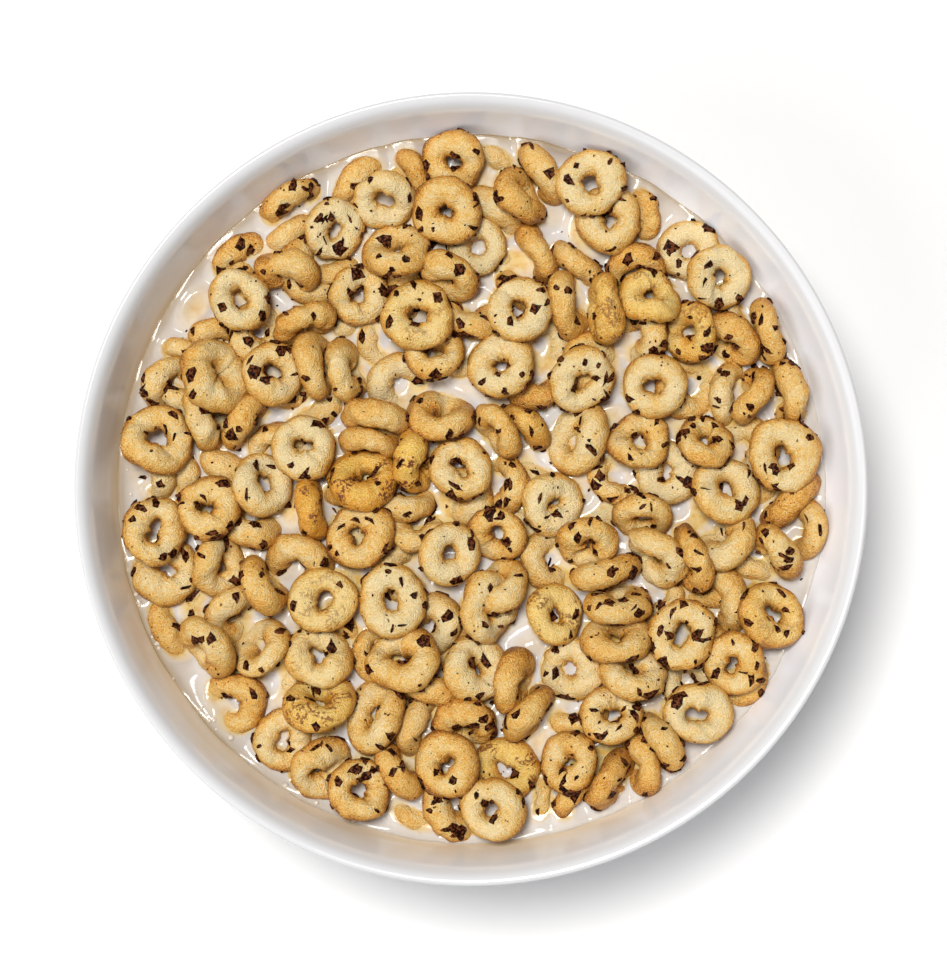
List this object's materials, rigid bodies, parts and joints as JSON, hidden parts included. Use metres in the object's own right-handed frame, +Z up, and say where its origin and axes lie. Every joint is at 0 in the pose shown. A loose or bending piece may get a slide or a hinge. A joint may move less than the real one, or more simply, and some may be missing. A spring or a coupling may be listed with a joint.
{
  "type": "bowl of cereal",
  "caption": "Round white glazed bowl on a foot ring, filled with milk and a floating heap of ring-shaped breakfast cereal with dark flecks.",
  "frame": {"origin": "on the table, under the centre of the bowl", "axes": "+Z up, out of the bowl's mouth. The bowl is round, so its +X and +Y sides are alike"},
  "size_m": [0.15, 0.15, 0.062],
  "materials": {
    "glaze": "gloss",
    "milk": "gloss",
    "cereal": "matte",
    "chocolate": "satin"
  },
  "bodies": {
    "root": {"bowl": "glaze", "milk": "milk", "cereal": "cereal"}
  },
  "joints": []
}
